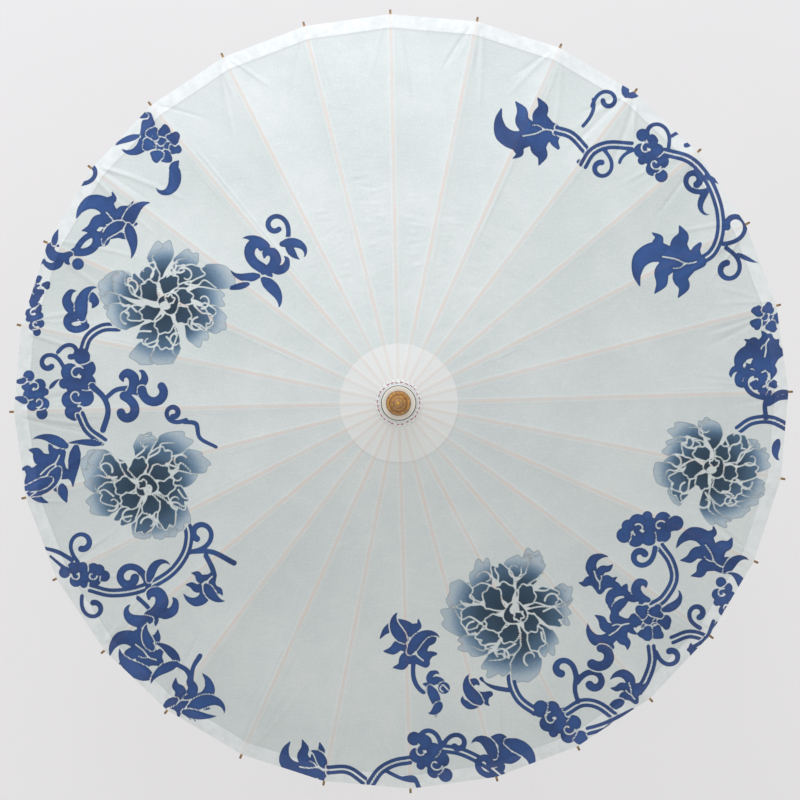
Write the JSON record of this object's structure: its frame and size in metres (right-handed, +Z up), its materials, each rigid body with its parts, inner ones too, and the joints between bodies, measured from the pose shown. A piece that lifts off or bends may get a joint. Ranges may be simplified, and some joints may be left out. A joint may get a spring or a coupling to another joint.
{
  "type": "oil paper umbrella",
  "caption": "Open oil paper umbrella with a blue floral print, bamboo ribs and stretchers, a slotted hub and sliding runner on a wooden pole, that folds closed",
  "frame": {"origin": "on the pole's axis at the foot of the grip", "axes": "+Z up along the pole towards the finial, +X through rib_01, ribs numbered counter-clockwise seen from above"},
  "size_m": [0.841, 0.841, 0.5706],
  "materials": {
    "oiled_paper": "satin oiled",
    "bamboo": "split bamboo",
    "hub_wood": "turned",
    "pole_wood": "lacquered"
  },
  "bodies": {
    "root": {"shaft": "pole_wood", "top_hub": "hub_wood", "canopy": "oiled_paper"},
    "rib_01": {"rib_01": "bamboo"},
    "rib_02": {"rib_02": "bamboo"},
    "rib_03": {"rib_03": "bamboo"},
    "rib_04": {"rib_04": "bamboo"},
    "rib_05": {"rib_05": "bamboo"},
    "rib_06": {"rib_06": "bamboo"},
    "rib_07": {"rib_07": "bamboo"},
    "rib_08": {"rib_08": "bamboo"},
    "rib_09": {"rib_09": "bamboo"},
    "rib_10": {"rib_10": "bamboo"},
    "rib_11": {"rib_11": "bamboo"},
    "rib_12": {"rib_12": "bamboo"},
    "rib_13": {"rib_13": "bamboo"},
    "rib_14": {"rib_14": "bamboo"},
    "rib_15": {"rib_15": "bamboo"},
    "rib_16": {"rib_16": "bamboo"},
    "rib_17": {"rib_17": "bamboo"},
    "rib_18": {"rib_18": "bamboo"},
    "rib_19": {"rib_19": "bamboo"},
    "rib_20": {"rib_20": "bamboo"},
    "rib_21": {"rib_21": "bamboo"},
    "rib_22": {"rib_22": "bamboo"},
    "rib_23": {"rib_23": "bamboo"},
    "rib_24": {"rib_24": "bamboo"},
    "rib_25": {"rib_25": "bamboo"},
    "rib_26": {"rib_26": "bamboo"},
    "rib_27": {"rib_27": "bamboo"},
    "rib_28": {"rib_28": "bamboo"},
    "stretcher_01": {"stretcher_01": "bamboo"},
    "stretcher_02": {"stretcher_02": "bamboo"},
    "stretcher_03": {"stretcher_03": "bamboo"},
    "stretcher_04": {"stretcher_04": "bamboo"},
    "stretcher_05": {"stretcher_05": "bamboo"},
    "stretcher_06": {"stretcher_06": "bamboo"},
    "stretcher_07": {"stretcher_07": "bamboo"},
    "stretcher_08": {"stretcher_08": "bamboo"},
    "stretcher_09": {"stretcher_09": "bamboo"},
    "stretcher_10": {"stretcher_10": "bamboo"},
    "stretcher_11": {"stretcher_11": "bamboo"},
    "stretcher_12": {"stretcher_12": "bamboo"},
    "stretcher_13": {"stretcher_13": "bamboo"},
    "stretcher_14": {"stretcher_14": "bamboo"},
    "stretcher_15": {"stretcher_15": "bamboo"},
    "stretcher_16": {"stretcher_16": "bamboo"},
    "stretcher_17": {"stretcher_17": "bamboo"},
    "stretcher_18": {"stretcher_18": "bamboo"},
    "stretcher_19": {"stretcher_19": "bamboo"},
    "stretcher_20": {"stretcher_20": "bamboo"},
    "stretcher_21": {"stretcher_21": "bamboo"},
    "stretcher_22": {"stretcher_22": "bamboo"},
    "stretcher_23": {"stretcher_23": "bamboo"},
    "stretcher_24": {"stretcher_24": "bamboo"},
    "stretcher_25": {"stretcher_25": "bamboo"},
    "stretcher_26": {"stretcher_26": "bamboo"},
    "stretcher_27": {"stretcher_27": "bamboo"},
    "stretcher_28": {"stretcher_28": "bamboo"},
    "runner": {"runner": "hub_wood"}
  },
  "joints": [
    {"name": "canopy_fold", "type": "hinge", "parent": "root", "child": "rib_01", "pos_m": [0.017, 0, 0.53], "axis": [0, 1, 0], "range_deg": [0, 69]},
    {"name": "rib_02_hinge", "type": "hinge", "parent": "root", "child": "rib_02", "pos_m": [0.01657, 0.00378, 0.53], "axis": [-0.2225, 0.9749, 0], "range_deg": [0, 69]},
    {"name": "rib_03_hinge", "type": "hinge", "parent": "root", "child": "rib_03", "pos_m": [0.01532, 0.00738, 0.53], "axis": [-0.4339, 0.901, 0], "range_deg": [0, 69]},
    {"name": "rib_04_hinge", "type": "hinge", "parent": "root", "child": "rib_04", "pos_m": [0.01329, 0.0106, 0.53], "axis": [-0.6235, 0.7818, 0], "range_deg": [0, 69]},
    {"name": "rib_05_hinge", "type": "hinge", "parent": "root", "child": "rib_05", "pos_m": [0.0106, 0.01329, 0.53], "axis": [-0.7818, 0.6235, 0], "range_deg": [0, 69]},
    {"name": "rib_06_hinge", "type": "hinge", "parent": "root", "child": "rib_06", "pos_m": [0.00738, 0.01532, 0.53], "axis": [-0.901, 0.4339, 0], "range_deg": [0, 69]},
    {"name": "rib_07_hinge", "type": "hinge", "parent": "root", "child": "rib_07", "pos_m": [0.00378, 0.01657, 0.53], "axis": [-0.9749, 0.2225, 0], "range_deg": [0, 69]},
    {"name": "rib_08_hinge", "type": "hinge", "parent": "root", "child": "rib_08", "pos_m": [0, 0.017, 0.53], "axis": [-1, 0, 0], "range_deg": [0, 69]},
    {"name": "rib_09_hinge", "type": "hinge", "parent": "root", "child": "rib_09", "pos_m": [-0.00378, 0.01657, 0.53], "axis": [-0.9749, -0.2225, 0], "range_deg": [0, 69]},
    {"name": "rib_10_hinge", "type": "hinge", "parent": "root", "child": "rib_10", "pos_m": [-0.00738, 0.01532, 0.53], "axis": [-0.901, -0.4339, 0], "range_deg": [0, 69]},
    {"name": "rib_11_hinge", "type": "hinge", "parent": "root", "child": "rib_11", "pos_m": [-0.0106, 0.01329, 0.53], "axis": [-0.7818, -0.6235, 0], "range_deg": [0, 69]},
    {"name": "rib_12_hinge", "type": "hinge", "parent": "root", "child": "rib_12", "pos_m": [-0.01329, 0.0106, 0.53], "axis": [-0.6235, -0.7818, 0], "range_deg": [0, 69]},
    {"name": "rib_13_hinge", "type": "hinge", "parent": "root", "child": "rib_13", "pos_m": [-0.01532, 0.00738, 0.53], "axis": [-0.4339, -0.901, 0], "range_deg": [0, 69]},
    {"name": "rib_14_hinge", "type": "hinge", "parent": "root", "child": "rib_14", "pos_m": [-0.01657, 0.00378, 0.53], "axis": [-0.2225, -0.9749, 0], "range_deg": [0, 69]},
    {"name": "rib_15_hinge", "type": "hinge", "parent": "root", "child": "rib_15", "pos_m": [-0.017, 0, 0.53], "axis": [0, -1, 0], "range_deg": [0, 69]},
    {"name": "rib_16_hinge", "type": "hinge", "parent": "root", "child": "rib_16", "pos_m": [-0.01657, -0.00378, 0.53], "axis": [0.2225, -0.9749, 0], "range_deg": [0, 69]},
    {"name": "rib_17_hinge", "type": "hinge", "parent": "root", "child": "rib_17", "pos_m": [-0.01532, -0.00738, 0.53], "axis": [0.4339, -0.901, 0], "range_deg": [0, 69]},
    {"name": "rib_18_hinge", "type": "hinge", "parent": "root", "child": "rib_18", "pos_m": [-0.01329, -0.0106, 0.53], "axis": [0.6235, -0.7818, 0], "range_deg": [0, 69]},
    {"name": "rib_19_hinge", "type": "hinge", "parent": "root", "child": "rib_19", "pos_m": [-0.0106, -0.01329, 0.53], "axis": [0.7818, -0.6235, 0], "range_deg": [0, 69]},
    {"name": "rib_20_hinge", "type": "hinge", "parent": "root", "child": "rib_20", "pos_m": [-0.00738, -0.01532, 0.53], "axis": [0.901, -0.4339, 0], "range_deg": [0, 69]},
    {"name": "rib_21_hinge", "type": "hinge", "parent": "root", "child": "rib_21", "pos_m": [-0.00378, -0.01657, 0.53], "axis": [0.9749, -0.2225, 0], "range_deg": [0, 69]},
    {"name": "rib_22_hinge", "type": "hinge", "parent": "root", "child": "rib_22", "pos_m": [0, -0.017, 0.53], "axis": [1, 0, 0], "range_deg": [0, 69]},
    {"name": "rib_23_hinge", "type": "hinge", "parent": "root", "child": "rib_23", "pos_m": [0.00378, -0.01657, 0.53], "axis": [0.9749, 0.2225, 0], "range_deg": [0, 69]},
    {"name": "rib_24_hinge", "type": "hinge", "parent": "root", "child": "rib_24", "pos_m": [0.00738, -0.01532, 0.53], "axis": [0.901, 0.4339, 0], "range_deg": [0, 69]},
    {"name": "rib_25_hinge", "type": "hinge", "parent": "root", "child": "rib_25", "pos_m": [0.0106, -0.01329, 0.53], "axis": [0.7818, 0.6235, 0], "range_deg": [0, 69]},
    {"name": "rib_26_hinge", "type": "hinge", "parent": "root", "child": "rib_26", "pos_m": [0.01329, -0.0106, 0.53], "axis": [0.6235, 0.7818, 0], "range_deg": [0, 69]},
    {"name": "rib_27_hinge", "type": "hinge", "parent": "root", "child": "rib_27", "pos_m": [0.01532, -0.00738, 0.53], "axis": [0.4339, 0.901, 0], "range_deg": [0, 69]},
    {"name": "rib_28_hinge", "type": "hinge", "parent": "root", "child": "rib_28", "pos_m": [0.01657, -0.00378, 0.53], "axis": [0.2225, 0.9749, 0], "range_deg": [0, 69]},
    {"name": "stretcher_01_hinge", "type": "hinge", "parent": "rib_01", "child": "stretcher_01", "pos_m": [0.19821, 0, 0.47287], "axis": [0, 1, 0], "range_deg": [-138, 0]},
    {"name": "stretcher_02_hinge", "type": "hinge", "parent": "rib_02", "child": "stretcher_02", "pos_m": [0.19324, 0.04411, 0.47287], "axis": [-0.2225, 0.9749, 0], "range_deg": [-138, 0]},
    {"name": "stretcher_03_hinge", "type": "hinge", "parent": "rib_03", "child": "stretcher_03", "pos_m": [0.17858, 0.086, 0.47287], "axis": [-0.4339, 0.901, 0], "range_deg": [-138, 0]},
    {"name": "stretcher_04_hinge", "type": "hinge", "parent": "rib_04", "child": "stretcher_04", "pos_m": [0.15496, 0.12358, 0.47287], "axis": [-0.6235, 0.7818, 0], "range_deg": [-138, 0]},
    {"name": "stretcher_05_hinge", "type": "hinge", "parent": "rib_05", "child": "stretcher_05", "pos_m": [0.12358, 0.15496, 0.47287], "axis": [-0.7818, 0.6235, 0], "range_deg": [-138, 0]},
    {"name": "stretcher_06_hinge", "type": "hinge", "parent": "rib_06", "child": "stretcher_06", "pos_m": [0.086, 0.17858, 0.47287], "axis": [-0.901, 0.4339, 0], "range_deg": [-138, 0]},
    {"name": "stretcher_07_hinge", "type": "hinge", "parent": "rib_07", "child": "stretcher_07", "pos_m": [0.04411, 0.19324, 0.47287], "axis": [-0.9749, 0.2225, 0], "range_deg": [-138, 0]},
    {"name": "stretcher_08_hinge", "type": "hinge", "parent": "rib_08", "child": "stretcher_08", "pos_m": [0, 0.19821, 0.47287], "axis": [-1, 0, 0], "range_deg": [-138, 0]},
    {"name": "stretcher_09_hinge", "type": "hinge", "parent": "rib_09", "child": "stretcher_09", "pos_m": [-0.04411, 0.19324, 0.47287], "axis": [-0.9749, -0.2225, 0], "range_deg": [-138, 0]},
    {"name": "stretcher_10_hinge", "type": "hinge", "parent": "rib_10", "child": "stretcher_10", "pos_m": [-0.086, 0.17858, 0.47287], "axis": [-0.901, -0.4339, 0], "range_deg": [-138, 0]},
    {"name": "stretcher_11_hinge", "type": "hinge", "parent": "rib_11", "child": "stretcher_11", "pos_m": [-0.12358, 0.15496, 0.47287], "axis": [-0.7818, -0.6235, 0], "range_deg": [-138, 0]},
    {"name": "stretcher_12_hinge", "type": "hinge", "parent": "rib_12", "child": "stretcher_12", "pos_m": [-0.15496, 0.12358, 0.47287], "axis": [-0.6235, -0.7818, 0], "range_deg": [-138, 0]},
    {"name": "stretcher_13_hinge", "type": "hinge", "parent": "rib_13", "child": "stretcher_13", "pos_m": [-0.17858, 0.086, 0.47287], "axis": [-0.4339, -0.901, 0], "range_deg": [-138, 0]},
    {"name": "stretcher_14_hinge", "type": "hinge", "parent": "rib_14", "child": "stretcher_14", "pos_m": [-0.19324, 0.04411, 0.47287], "axis": [-0.2225, -0.9749, 0], "range_deg": [-138, 0]},
    {"name": "stretcher_15_hinge", "type": "hinge", "parent": "rib_15", "child": "stretcher_15", "pos_m": [-0.19821, 0, 0.47287], "axis": [0, -1, 0], "range_deg": [-138, 0]},
    {"name": "stretcher_16_hinge", "type": "hinge", "parent": "rib_16", "child": "stretcher_16", "pos_m": [-0.19324, -0.04411, 0.47287], "axis": [0.2225, -0.9749, 0], "range_deg": [-138, 0]},
    {"name": "stretcher_17_hinge", "type": "hinge", "parent": "rib_17", "child": "stretcher_17", "pos_m": [-0.17858, -0.086, 0.47287], "axis": [0.4339, -0.901, 0], "range_deg": [-138, 0]},
    {"name": "stretcher_18_hinge", "type": "hinge", "parent": "rib_18", "child": "stretcher_18", "pos_m": [-0.15496, -0.12358, 0.47287], "axis": [0.6235, -0.7818, 0], "range_deg": [-138, 0]},
    {"name": "stretcher_19_hinge", "type": "hinge", "parent": "rib_19", "child": "stretcher_19", "pos_m": [-0.12358, -0.15496, 0.47287], "axis": [0.7818, -0.6235, 0], "range_deg": [-138, 0]},
    {"name": "stretcher_20_hinge", "type": "hinge", "parent": "rib_20", "child": "stretcher_20", "pos_m": [-0.086, -0.17858, 0.47287], "axis": [0.901, -0.4339, 0], "range_deg": [-138, 0]},
    {"name": "stretcher_21_hinge", "type": "hinge", "parent": "rib_21", "child": "stretcher_21", "pos_m": [-0.04411, -0.19324, 0.47287], "axis": [0.9749, -0.2225, 0], "range_deg": [-138, 0]},
    {"name": "stretcher_22_hinge", "type": "hinge", "parent": "rib_22", "child": "stretcher_22", "pos_m": [0, -0.19821, 0.47287], "axis": [1, 0, 0], "range_deg": [-138, 0]},
    {"name": "stretcher_23_hinge", "type": "hinge", "parent": "rib_23", "child": "stretcher_23", "pos_m": [0.04411, -0.19324, 0.47287], "axis": [0.9749, 0.2225, 0], "range_deg": [-138, 0]},
    {"name": "stretcher_24_hinge", "type": "hinge", "parent": "rib_24", "child": "stretcher_24", "pos_m": [0.086, -0.17858, 0.47287], "axis": [0.901, 0.4339, 0], "range_deg": [-138, 0]},
    {"name": "stretcher_25_hinge", "type": "hinge", "parent": "rib_25", "child": "stretcher_25", "pos_m": [0.12358, -0.15496, 0.47287], "axis": [0.7818, 0.6235, 0], "range_deg": [-138, 0]},
    {"name": "stretcher_26_hinge", "type": "hinge", "parent": "rib_26", "child": "stretcher_26", "pos_m": [0.15496, -0.12358, 0.47287], "axis": [0.6235, 0.7818, 0], "range_deg": [-138, 0]},
    {"name": "stretcher_27_hinge", "type": "hinge", "parent": "rib_27", "child": "stretcher_27", "pos_m": [0.17858, -0.086, 0.47287], "axis": [0.4339, 0.901, 0], "range_deg": [-138, 0]},
    {"name": "stretcher_28_hinge", "type": "hinge", "parent": "rib_28", "child": "stretcher_28", "pos_m": [0.19324, -0.04411, 0.47287], "axis": [0.2225, 0.9749, 0], "range_deg": [-138, 0]},
    {"name": "runner_pivot", "type": "hinge", "parent": "stretcher_01", "child": "runner", "pos_m": [0.017, 0, 0.41573], "axis": [0, 1, 0], "range_deg": [0, 69]}
  ],
  "couplings": [
    {"joint": "rib_02_hinge", "follows": "canopy_fold", "ratio": 1},
    {"joint": "rib_03_hinge", "follows": "canopy_fold", "ratio": 1},
    {"joint": "rib_04_hinge", "follows": "canopy_fold", "ratio": 1},
    {"joint": "rib_05_hinge", "follows": "canopy_fold", "ratio": 1},
    {"joint": "rib_06_hinge", "follows": "canopy_fold", "ratio": 1},
    {"joint": "rib_07_hinge", "follows": "canopy_fold", "ratio": 1},
    {"joint": "rib_08_hinge", "follows": "canopy_fold", "ratio": 1},
    {"joint": "rib_09_hinge", "follows": "canopy_fold", "ratio": 1},
    {"joint": "rib_10_hinge", "follows": "canopy_fold", "ratio": 1},
    {"joint": "rib_11_hinge", "follows": "canopy_fold", "ratio": 1},
    {"joint": "rib_12_hinge", "follows": "canopy_fold", "ratio": 1},
    {"joint": "rib_13_hinge", "follows": "canopy_fold", "ratio": 1},
    {"joint": "rib_14_hinge", "follows": "canopy_fold", "ratio": 1},
    {"joint": "rib_15_hinge", "follows": "canopy_fold", "ratio": 1},
    {"joint": "rib_16_hinge", "follows": "canopy_fold", "ratio": 1},
    {"joint": "rib_17_hinge", "follows": "canopy_fold", "ratio": 1},
    {"joint": "rib_18_hinge", "follows": "canopy_fold", "ratio": 1},
    {"joint": "rib_19_hinge", "follows": "canopy_fold", "ratio": 1},
    {"joint": "rib_20_hinge", "follows": "canopy_fold", "ratio": 1},
    {"joint": "rib_21_hinge", "follows": "canopy_fold", "ratio": 1},
    {"joint": "rib_22_hinge", "follows": "canopy_fold", "ratio": 1},
    {"joint": "rib_23_hinge", "follows": "canopy_fold", "ratio": 1},
    {"joint": "rib_24_hinge", "follows": "canopy_fold", "ratio": 1},
    {"joint": "rib_25_hinge", "follows": "canopy_fold", "ratio": 1},
    {"joint": "rib_26_hinge", "follows": "canopy_fold", "ratio": 1},
    {"joint": "rib_27_hinge", "follows": "canopy_fold", "ratio": 1},
    {"joint": "rib_28_hinge", "follows": "canopy_fold", "ratio": 1},
    {"joint": "stretcher_01_hinge", "follows": "canopy_fold", "ratio": -2},
    {"joint": "stretcher_02_hinge", "follows": "canopy_fold", "ratio": -2},
    {"joint": "stretcher_03_hinge", "follows": "canopy_fold", "ratio": -2},
    {"joint": "stretcher_04_hinge", "follows": "canopy_fold", "ratio": -2},
    {"joint": "stretcher_05_hinge", "follows": "canopy_fold", "ratio": -2},
    {"joint": "stretcher_06_hinge", "follows": "canopy_fold", "ratio": -2},
    {"joint": "stretcher_07_hinge", "follows": "canopy_fold", "ratio": -2},
    {"joint": "stretcher_08_hinge", "follows": "canopy_fold", "ratio": -2},
    {"joint": "stretcher_09_hinge", "follows": "canopy_fold", "ratio": -2},
    {"joint": "stretcher_10_hinge", "follows": "canopy_fold", "ratio": -2},
    {"joint": "stretcher_11_hinge", "follows": "canopy_fold", "ratio": -2},
    {"joint": "stretcher_12_hinge", "follows": "canopy_fold", "ratio": -2},
    {"joint": "stretcher_13_hinge", "follows": "canopy_fold", "ratio": -2},
    {"joint": "stretcher_14_hinge", "follows": "canopy_fold", "ratio": -2},
    {"joint": "stretcher_15_hinge", "follows": "canopy_fold", "ratio": -2},
    {"joint": "stretcher_16_hinge", "follows": "canopy_fold", "ratio": -2},
    {"joint": "stretcher_17_hinge", "follows": "canopy_fold", "ratio": -2},
    {"joint": "stretcher_18_hinge", "follows": "canopy_fold", "ratio": -2},
    {"joint": "stretcher_19_hinge", "follows": "canopy_fold", "ratio": -2},
    {"joint": "stretcher_20_hinge", "follows": "canopy_fold", "ratio": -2},
    {"joint": "stretcher_21_hinge", "follows": "canopy_fold", "ratio": -2},
    {"joint": "stretcher_22_hinge", "follows": "canopy_fold", "ratio": -2},
    {"joint": "stretcher_23_hinge", "follows": "canopy_fold", "ratio": -2},
    {"joint": "stretcher_24_hinge", "follows": "canopy_fold", "ratio": -2},
    {"joint": "stretcher_25_hinge", "follows": "canopy_fold", "ratio": -2},
    {"joint": "stretcher_26_hinge", "follows": "canopy_fold", "ratio": -2},
    {"joint": "stretcher_27_hinge", "follows": "canopy_fold", "ratio": -2},
    {"joint": "stretcher_28_hinge", "follows": "canopy_fold", "ratio": -2},
    {"joint": "runner_pivot", "follows": "canopy_fold", "ratio": 1}
  ]
}
